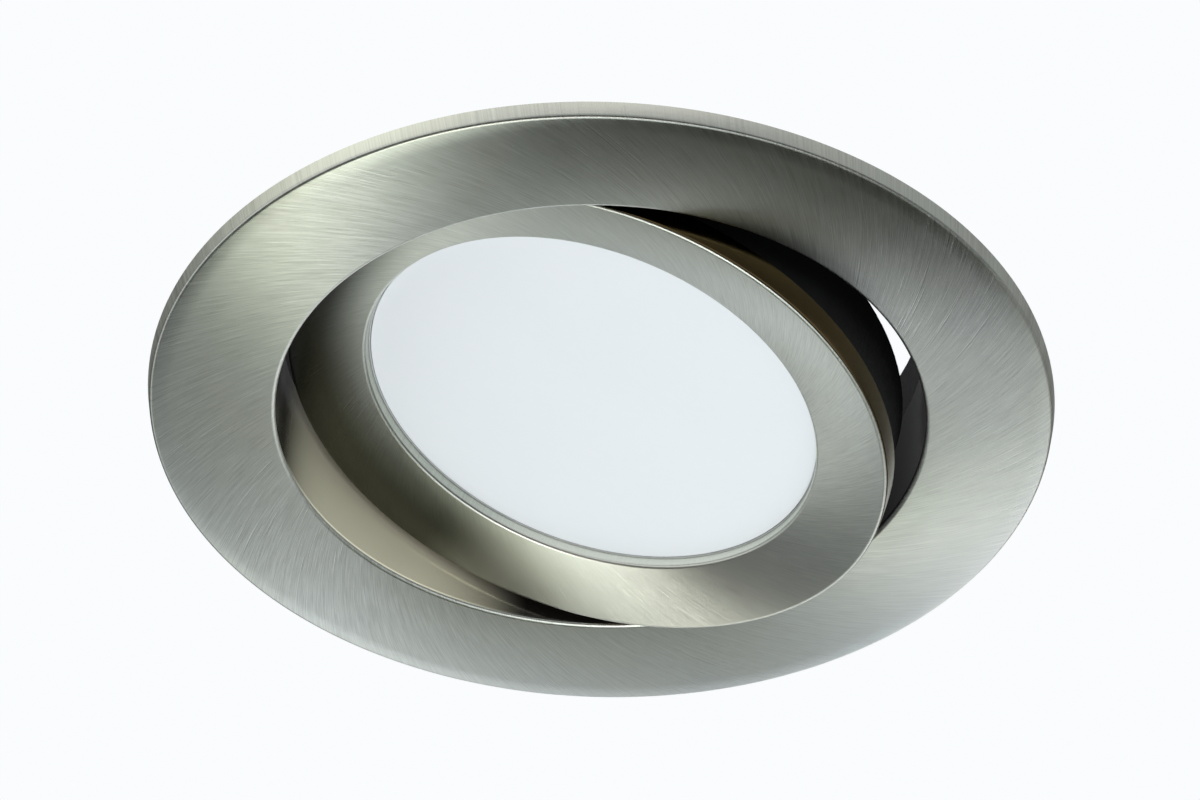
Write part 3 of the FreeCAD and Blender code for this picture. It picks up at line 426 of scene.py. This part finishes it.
materials = {
    "brushed_face_painted_reflections": brushed_nickel("brushed nickel face with painted reflections", level_place, FACE_PAINTED_REFLECTIONS),
    "brushed_head_painted_reflections": brushed_nickel("brushed nickel head with painted reflections", head_place, HEAD_PAINTED_REFLECTIONS),
    "polished_collar": polished_nickel(
        "bright nickel collar", level_place, (0.62, 0.58, 0.46), 0.10
    ),
    # The collar's inner wall is near black, a painted dark reflection
    "collar_inside_painted_dark": polished_nickel(
        "collar inside with painted reflections", level_place, (0.02, 0.017, 0.014), 0.16, COLLAR_PAINTED_REFLECTION, 0.3
    ),
    # The skirt's dark brown is a painted dark reflection on polished nickel
    "skirt_painted_dark_reflection": polished_nickel(
        "skirt nickel with painted dark reflection", head_place, (0.12, 0.088, 0.042), 0.14
    ),
    "zinc_steel": mottled(
        "zinc plated steel", (0.60, 0.62, 0.64), (0.52, 0.55, 0.60), 1.0, (0.28, 0.42), 5.0,
        depth=0.003,
    ),
    "spring_steel": mottled(
        "spring wire", (0.40, 0.41, 0.43), (0.30, 0.31, 0.33), 1.0, (0.25, 0.38), 3.0, depth=0.002
    ),
    "foam": mottled(
        "closed foam", (0.045, 0.045, 0.05), (0.07, 0.07, 0.075), 0.0, (0.75, 0.95), 6.0, 0.35, 0.06
    ),
    "soft_sleeve": mottled(
        "silicone sleeve", (0.50, 0.51, 0.52), (0.42, 0.43, 0.45), 0.0, (0.45, 0.6), 4.0,
        depth=0.008,
    ),
    "seal_rubber": mottled(
        "seal rubber", (0.05, 0.05, 0.055), (0.09, 0.09, 0.09), 0.0, (0.5, 0.7), 3.0, depth=0.006
    ),
    # Near-black inner faces of the ears
    "dark_ear_steel": mottled(
        "dark ear inside", (0.012, 0.012, 0.016), (0.02, 0.02, 0.024), 0.0, (0.35, 0.5), 6.0,
        depth=0.003,
    ),
    "pale_seal": mottled(
        "pale diffuser seal", (0.62, 0.64, 0.64), (0.55, 0.57, 0.58), 0.0, (0.4, 0.55), 3.0,
        depth=0.004,
    ),
    "thermal_film": mottled(
        "heat film", (0.40, 0.42, 0.46), (0.50, 0.52, 0.55), 0.0, (0.5, 0.7), 4.0, depth=0.008
    ),
    "black_housing": mottled(
        "black powder coat", (0.008, 0.008, 0.009), (0.012, 0.012, 0.013), 0.0, (0.42, 0.6),
        8.0, 0.30, 0.012, Specular_IOR_Level=0.3,
    ),
    "black_plastic": mottled(
        "eroded black moulding", (0.022, 0.022, 0.024), (0.032, 0.032, 0.034), 0.0, (0.45, 0.62),
        10.0, 0.22, 0.010,
    ),
    "opal": mottled(
        "opal moulding", (0.89, 0.93, 0.955), (0.875, 0.92, 0.95), 0.0, (0.36, 0.48), 14.0,
        depth=0.001, grain=0.03,
    ),
    "white_plastic": mottled(
        "white moulding", (0.83, 0.83, 0.81), (0.78, 0.78, 0.75), 0.0, (0.35, 0.5), 6.0, depth=0.004
    ),
    "nylon": mottled(
        "nylon", (0.70, 0.69, 0.63), (0.62, 0.60, 0.54), 0.0, (0.4, 0.55), 3.0, depth=0.004
    ),
    "board_metal": mottled(
        "coated board", (0.82, 0.83, 0.82), (0.76, 0.77, 0.77), 0.0, (0.3, 0.45), 5.0, depth=0.003
    ),
    "led_phosphor": mottled(
        "light chips", (0.80, 0.62, 0.16), (0.72, 0.55, 0.14), 0.0, (0.35, 0.5), 1.5, depth=0.004
    ),
    "circuit_board": mottled(
        "green lacquer", (0.03, 0.16, 0.07), (0.05, 0.22, 0.09), 0.0, (0.25, 0.4), 2.5, depth=0.004
    ),
    "component_black": mottled(
        "component moulding", (0.03, 0.03, 0.035), (0.05, 0.05, 0.055), 0.0, (0.3, 0.5), 2.0,
        depth=0.004,
    ),
    "transformer_tape": mottled(
        "winding tape", (0.60, 0.46, 0.06), (0.50, 0.38, 0.05), 0.0, (0.3, 0.45), 3.0, depth=0.006
    ),
    "terminal_plastic": mottled(
        "terminal moulding", (0.10, 0.20, 0.40), (0.13, 0.24, 0.45), 0.0, (0.35, 0.5), 3.0,
        depth=0.004,
    ),
    "contact_brass": mottled(
        "brass", (0.70, 0.54, 0.26), (0.60, 0.45, 0.20), 1.0, (0.22, 0.38), 2.0, depth=0.002
    ),
}


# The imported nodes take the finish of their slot
for entry in frame["record"]["subparts"]:
    node = frame["nodes"][entry["node"]]
    slot = entry["material_slot"]
    node.data.materials.clear()
    node.data.materials.append(materials["brushed_face_painted_reflections" if slot == "brushed_nickel" else slot])
frame["nodes"]["diffuser_gasket"].data.materials[0] = materials["pale_seal"]


# ---------------------------------------------------------------- mesh helpers

# Distance at which points are one: of a new mesh in millimetres, of a packed one in metres
WELD = 1e-4
NODE_WELD = 1e-6
ON_CIRCLE = 1e-3
SHARP_ANGLE = math.radians(32.0)


def spin_profile(points, steps=FULL_TURN_STEPS):
    """Turn a closed profile of (radius, height) points about Z, in millimetres."""
    mesh = bmesh.new()
    corners = [mesh.verts.new((radius, 0.0, height)) for radius, height in points]
    sides = [mesh.edges.new(pair) for pair in zip(corners, corners[1:] + corners[:1])]
    bmesh.ops.spin(
        mesh, geom=corners + sides, cent=(0, 0, 0), axis=(0, 0, 1), dvec=(0, 0, 0),
        angle=2 * math.pi, steps=steps, use_merge=True, use_duplicate=False,
    )
    bmesh.ops.remove_doubles(mesh, verts=mesh.verts, dist=WELD)
    bmesh.ops.recalc_face_normals(mesh, faces=mesh.faces)
    return mesh


def loop_edges(mesh, radius, height):
    """The edges of one circle about Z."""
    def on(vert):
        off_radius = abs(vert.co.to_2d().length - radius)
        return off_radius < ON_CIRCLE and abs(vert.co.z - height) < ON_CIRCLE

    return [edge for edge in mesh.edges if all(on(vert) for vert in edge.verts)]


def round_loop(mesh, radius, height, offset, segments):
    """Round the edge that runs in one circle about Z."""
    bmesh.ops.bevel(
        mesh, geom=loop_edges(mesh, radius, height), offset=offset, offset_type="OFFSET",
        segments=segments, profile=0.5, affect="EDGES", material=-1, clamp_overlap=True,
    )


def copy_node(name):
    """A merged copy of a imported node's mesh, in metres."""
    mesh = bmesh.new()
    mesh.from_mesh(frame["nodes"][name].data)
    bmesh.ops.remove_doubles(mesh, verts=mesh.verts, dist=NODE_WELD)
    return mesh


def finish_piece(name, mesh, finishes, place=level_place):
    """Place a mesh made in millimetres and make an object of it, at the origin, in metres."""
    mesh.transform(Matrix.Scale(MM, 4) @ place)
    data = bpy.data.meshes.new(name)
    mesh.to_mesh(data)
    mesh.free()
    for finish in finishes:
        data.materials.append(materials[finish])
    data.polygons.foreach_set("use_smooth", [True] * len(data.polygons))
    data.set_sharp_from_angle(angle=SHARP_ANGLE)
    piece = bpy.data.objects.new(name, data)
    bpy.context.scene.collection.objects.link(piece)
    return piece


def keep_piece(piece, body, slot, *nodes):
    """Ride a piece on a body and hide the imported nodes that it stands for. The slot is not used.
    """
    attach(piece, body)
    if nodes:
        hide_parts(*nodes)


# ---------------------------------------------------------------- trim ring

RIM_STEPS = 4
LIP_STEPS = 10
CROWN_SHARES = (0.75, 0.5, 0.25)
LIP_BRUSHED = 0.6 * LIP_ROUND
NEAR = 0.2
EAR_CUT = 0.02
EAR_INWARD = 0.3


def make_flange():
    """Flange with a crowned face, rolled lip and collar."""
    crown = [(RIM_FRONT, -RIM_HEIGHT)]
    drop = FACE_DEPTH - RIM_HEIGHT
    for share in CROWN_SHARES:
        radius = CROWN_RADIUS + share * (RIM_FRONT - CROWN_RADIUS)
        crown.append((radius, -FACE_DEPTH + drop * share * share))
    crown.append((CROWN_RADIUS, -FACE_DEPTH))
    mesh = spin_profile([
        (FLANGE_RADIUS, 0.0),
        *crown,
        (HOLE_RADIUS, -FACE_DEPTH),
        (HOLE_RADIUS, COLLAR_HEIGHT),
        (COLLAR_OUTER, COLLAR_HEIGHT),
        (COLLAR_OUTER, -BACK_RECESS),
        (RECESS_RADIUS, -BACK_RECESS),
        (RECESS_RADIUS, 0.0),
    ])
    round_loop(mesh, RIM_FRONT, -RIM_HEIGHT, RIM_ROUND, RIM_STEPS)
    round_loop(mesh, HOLE_RADIUS, -FACE_DEPTH, LIP_ROUND, LIP_STEPS)
    for face in mesh.faces:
        middle = face.calc_center_median()
        radius = middle.to_2d().length
        if radius < HOLE_RADIUS + NEAR and middle.z > -FACE_DEPTH + LIP_BRUSHED:
            face.material_index = 2
        elif radius < COLLAR_OUTER + NEAR and middle.z > -FACE_DEPTH + LIP_ROUND:
            face.material_index = 1
    # The collar's inner wall takes the near-black painted dark reflection
    finishes = ("brushed_face_painted_reflections", "polished_collar", "collar_inside_painted_dark")
    ring = finish_piece("trim_ring_turned", mesh, finishes)
    keep_piece(ring, "trim", "brushed_nickel", "trim_ring")


def make_ears():
    """The collar's two raised ears, bright outside and dark inside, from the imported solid."""
    ears = copy_node("trim_ring")
    # Cut a hair above the collar, close each cut, and let the ears down on the collar again
    level = (COLLAR_HEIGHT + EAR_CUT) * MM
    cut = bmesh.ops.bisect_plane(
        ears, geom=[*ears.verts, *ears.edges, *ears.faces], dist=1e-7,
        plane_co=(0, 0, level), plane_no=(0, 0, 1), clear_inner=True,
    )
    open_edges = [item for item in cut["geom_cut"] if isinstance(item, bmesh.types.BMEdge)]
    bmesh.ops.holes_fill(ears, edges=open_edges, sides=0)
    for vert in ears.verts:
        if vert.co.z < level + NODE_WELD:
            vert.co.z = COLLAR_HEIGHT * MM
    bmesh.ops.scale(ears, vec=(1 / MM,) * 3, verts=ears.verts)
    bmesh.ops.recalc_face_normals(ears, faces=ears.faces)
    for face in ears.faces:
        middle = face.calc_center_median()
        outwards = face.normal.to_2d().dot(middle.to_2d().normalized())
        face.material_index = 1 if outwards < -EAR_INWARD else 0
    both = finish_piece("trim_ears", ears, ("polished_collar", "dark_ear_steel"))
    keep_piece(both, "trim", "brushed_nickel")


make_flange()
make_ears()


# ---------------------------------------------------------------- lamp head

BEZEL_STEPS = 5
SKIRT_EDGE = 0.1
BACK_EDGE = 0.01


def make_bezel():
    """Dished front ring of the head, with a polished skirt whose dark brown is a painted
    reflection.
    """
    mesh = spin_profile([
        (OPENING_RADIUS, -BEZEL_BACK),
        (OPENING_RADIUS, -OPENING_FRONT),
        (BEZEL_RADIUS, -BEZEL_FRONT),
        (BEZEL_RADIUS, -BEZEL_BACK),
    ])
    round_loop(mesh, BEZEL_RADIUS, -BEZEL_FRONT, BEZEL_ROUND, BEZEL_STEPS)
    round_loop(mesh, OPENING_RADIUS, -OPENING_FRONT, OPENING_ROUND, BEZEL_STEPS)
    for face in mesh.faces:
        middle = face.calc_center_median()
        skirt = middle.to_2d().length > BEZEL_RADIUS - SKIRT_EDGE
        back = middle.z > -BEZEL_BACK - BACK_EDGE
        face.material_index = 1 if skirt or back else 0
    finishes = ("brushed_head_painted_reflections", "skirt_painted_dark_reflection")
    bezel = finish_piece("head_bezel_turned", mesh, finishes, head_place)
    keep_piece(bezel, "head", "brushed_nickel", "head_bezel")


make_bezel()


# ---------------------------------------------------------------- cable gland

GLAND_PLACE = Matrix.Translation((3.031, 22.4, 15.282)) @ Matrix.Rotation(-math.pi / 2, 4, "X")
NUT_RIBS = 14
RIB_STEPS = 6
RIB_ROOT = 4.24
RIB_TOP = 4.5
RIB_SPAN = (0.5, 4.0)
RAISED_STEPS = (1, 2, 3)
NUT_PROFILE = (
    (3.65, 0.0), (RIB_ROOT, 0.0), (RIB_ROOT, 0.35), (RIB_ROOT, 0.6), (RIB_ROOT, 3.9),
    (RIB_ROOT, 4.2), (4.0, 4.75), (3.6, 5.2), (3.1, 5.4), (2.8, 5.3), (2.8, 4.3), (3.65, 4.3),
)


def make_gland_nut():
    """Ribbed clamping nut with a domed mouth, turned about the cable's axis."""
    steps = RIB_STEPS * NUT_RIBS
    mesh = spin_profile(NUT_PROFILE, steps)
    for vert in mesh.verts:
        radius = vert.co.to_2d().length
        if radius > RIB_ROOT - 0.01 and RIB_SPAN[0] < vert.co.z < RIB_SPAN[1]:
            turn = round(math.atan2(vert.co.y, vert.co.x) * steps / (2 * math.pi))
            if turn % RIB_STEPS in RAISED_STEPS:
                vert.co.xy = vert.co.xy * (RIB_TOP / radius)
    bmesh.ops.recalc_face_normals(mesh, faces=mesh.faces)
    nut = finish_piece("gland_nut_ribbed", mesh, ("black_plastic",), GLAND_PLACE)
    keep_piece(nut, "head", "black_plastic", "gland_nut")


make_gland_nut()


# ---------------------------------------------------------------- clip springs


def make_spring_wire(side):
    """One unbroken wire: a leg on the bracket, a coil round the pin and a leg on the arm."""
    wire = copy_node(f"clip_spring_{side}")
    bmesh.ops.recalc_face_normals(wire, faces=wire.faces)
    bmesh.ops.scale(wire, vec=(1 / MM,) * 3, verts=wire.verts)
    spring = finish_piece(f"spring_wire_{side}", wire, ("spring_steel",))
    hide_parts(f"clip_spring_{side}")
    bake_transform(spring)


make_spring_wire("right")
make_spring_wire("left")


# ---------------------------------------------------------------- stage, light and camera

# Distances of the camera and the lamps, and sizes of the lamps, are in metres
CAMERA_DISTANCE = 0.7
CAMERA_AZIMUTH = math.radians(-3.0)
CAMERA_ELEVATION = math.radians(-40.12)
CAMERA_ROLL = math.radians(2.0)
CAMERA_AIM = Vector((-0.00018, -0.00134, 0.0))
CAMERA_LENS = 211.44
CAMERA_SENSOR = 36.0
CAMERA_CLIP = (0.01, 20.0)
FLOOR_HEIGHT = -600.0
FLOOR_HALF = 4000.0
FLOOR_GLOW = 0.42
FLOOR_PATCH = 300.0
FLOOR_TONE = (0.80, 0.81, 0.82)
FLOOR_PALER = (0.82, 0.83, 0.84)
FLAG_HALF = (1250.0, 1050.0, 1.0)
FLAG_CENTRE = (150.0, -100.0, -560.0)
GLOSS_TURN = 0.35
PAPER = (0.956, 0.974, 0.991, 1.0)


def make_camera():
    """Camera below and in front of the light, as in the photograph."""
    back = Vector((
        math.sin(CAMERA_AZIMUTH) * math.cos(CAMERA_ELEVATION),
        -math.cos(CAMERA_AZIMUTH) * math.cos(CAMERA_ELEVATION),
        math.sin(CAMERA_ELEVATION),
    ))
    data = bpy.data.cameras.new("camera")
    data.sensor_width = CAMERA_SENSOR
    data.lens = CAMERA_LENS
    data.clip_start, data.clip_end = CAMERA_CLIP
    camera = bpy.data.objects.new("camera", data)
    bpy.context.scene.collection.objects.link(camera)
    camera.location = back * CAMERA_DISTANCE
    look = (CAMERA_AIM - camera.location).to_track_quat("-Z", "Y")
    camera.rotation_mode = "QUATERNION"
    camera.rotation_quaternion = look @ Quaternion((0, 0, 1), CAMERA_ROLL)
    bpy.context.scene.camera = camera


def make_world(near, far, level):
    """White backdrop, gloss that is bright in front of the light and dim behind it, soft light."""
    world = bpy.data.worlds.new("studio")
    bpy.context.scene.world = world
    world.use_nodes = True
    graph = Graph(world.node_tree)
    shader = world.node_tree.nodes["Background"]
    graph.put(shader.inputs["Color"], PAPER)
    _, depth, _ = graph.parts(graph.add("ShaderNodeTexCoord").outputs["Generated"])
    gloss = graph.spread(depth, -GLOSS_TURN, GLOSS_TURN, near, far, smooth=True)
    path = graph.add("ShaderNodeLightPath").outputs
    glossy = graph.math("MULTIPLY", path["Is Glossy Ray"], gloss)
    backdrop = graph.math("MAXIMUM", path["Is Camera Ray"], path["Is Transmission Ray"])
    seen = graph.math("MAXIMUM", backdrop, glossy)
    diffuse = graph.math("MULTIPLY", path["Is Diffuse Ray"], level)
    graph.put(shader.inputs["Strength"], graph.math("MAXIMUM", seen, diffuse))


def make_floor():
    """Plain pale floor, well below the light."""
    mesh = bmesh.new()
    bmesh.ops.create_grid(mesh, x_segments=1, y_segments=1, size=FLOOR_HALF)
    bmesh.ops.translate(mesh, vec=(0, 0, FLOOR_HEIGHT), verts=mesh.verts)
    material, graph, shader, place = start_material("pale floor", FLOOR_TONE, 0.0, 0.8)
    mottle = graph.group(mottle_group, Vector=place, Patch=FLOOR_PATCH)
    shade = graph.blend(mottle["Patches"], (*FLOOR_TONE, 1.0), (*FLOOR_PALER, 1.0))
    graph.put(shader.inputs["Base Color"], shade)
    path = graph.add("ShaderNodeLightPath").outputs
    seen = graph.math("MAXIMUM", path["Is Camera Ray"], path["Is Glossy Ray"])
    seen = graph.math("MAXIMUM", seen, path["Is Transmission Ray"])
    shader.inputs["Emission Color"].default_value = PAPER
    graph.put(shader.inputs["Emission Strength"], graph.math("MULTIPLY", seen, FLOOR_GLOW))
    material.cycles.emission_sampling = "NONE"
    materials["floor"] = material
    finish_piece("floor", mesh, ("floor",))


def make_flag():
    """Dark card low under the light, which only the metal's gloss sees."""
    mesh = bmesh.new()
    bmesh.ops.create_grid(mesh, x_segments=1, y_segments=1, size=1.0)
    bmesh.ops.scale(mesh, vec=FLAG_HALF, verts=mesh.verts)
    bmesh.ops.translate(mesh, vec=FLAG_CENTRE, verts=mesh.verts)
    materials["flag"] = mottled(
        "dark card", (0.012, 0.012, 0.012), (0.02, 0.02, 0.02), 0.0, (0.8, 0.9), 100.0, depth=0.01
    )
    flag = finish_piece("flag", mesh, ("flag",))
    flag.visible_camera = flag.visible_shadow = flag.visible_diffuse = False


def make_lamp(number, azimuth, elevation, width, height, watts, tint):
    """A soft box on a sphere round the light, facing it."""
    data = bpy.data.lights.new(f"soft_box_{number}", "AREA")
    data.shape = "RECTANGLE"
    data.size, data.size_y = width, height
    data.energy = watts
    data.color = tint
    lamp = bpy.data.objects.new(f"soft_box_{number}", data)
    bpy.context.scene.collection.objects.link(lamp)
    turn, rise = math.radians(azimuth), math.radians(elevation)
    across = math.cos(rise)
    outward = Vector((math.cos(turn) * across, math.sin(turn) * across, math.sin(rise)))
    lamp.location = outward * LAMP_DISTANCE
    lamp.rotation_euler = (-outward).to_track_quat("-Z", "Y").to_euler()
    lamp.visible_camera = False


LAMP_DISTANCE = 0.5

# Azimuth (90 is behind, -90 in front) and elevation in degrees, width, height, watts, tint
LAMPS = (
    (60, -10, 0.26, 0.16, 0.186, (1.000, 0.923, 0.920)),
    (66, -26, 0.2, 0.15, 0.143, (0.767, 0.816, 1.000)),
    (90, -26, 0.2, 0.15, 0.041, (0.754, 0.850, 1.000)),
    (90, -42, 0.18, 0.14, 0.027, (1.000, 0.980, 0.790)),
    (120, -74, 0.16, 0.16, 0.181, (0.960, 1.000, 0.809)),
    (180, -74, 0.16, 0.16, 0.131, (0.863, 1.000, 0.805)),
    (240, -74, 0.16, 0.16, 0.562, (1.000, 0.939, 0.932)),
    (300, -74, 0.16, 0.16, 0.158, (0.756, 0.840, 1.000)),
    (90, -89.9, 0.16, 0.16, 0.194, (0.828, 0.887, 1.000)),
    (210, 32, 0.3, 0.3, 0.187, (1.000, 0.954, 0.780)),
    (270, 32, 0.3, 0.3, 0.430, (1.000, 0.927, 0.889)),
)
GLOSS_NEAR = 0.85
GLOSS_FAR = 0.1
WORLD_LEVEL = 0.6

make_camera()
make_world(GLOSS_NEAR, GLOSS_FAR, WORLD_LEVEL)
make_floor()
make_flag()
for number, lamp in enumerate(LAMPS):
    make_lamp(number, *lamp)
bpy.context.scene.view_settings.view_transform = "Standard"
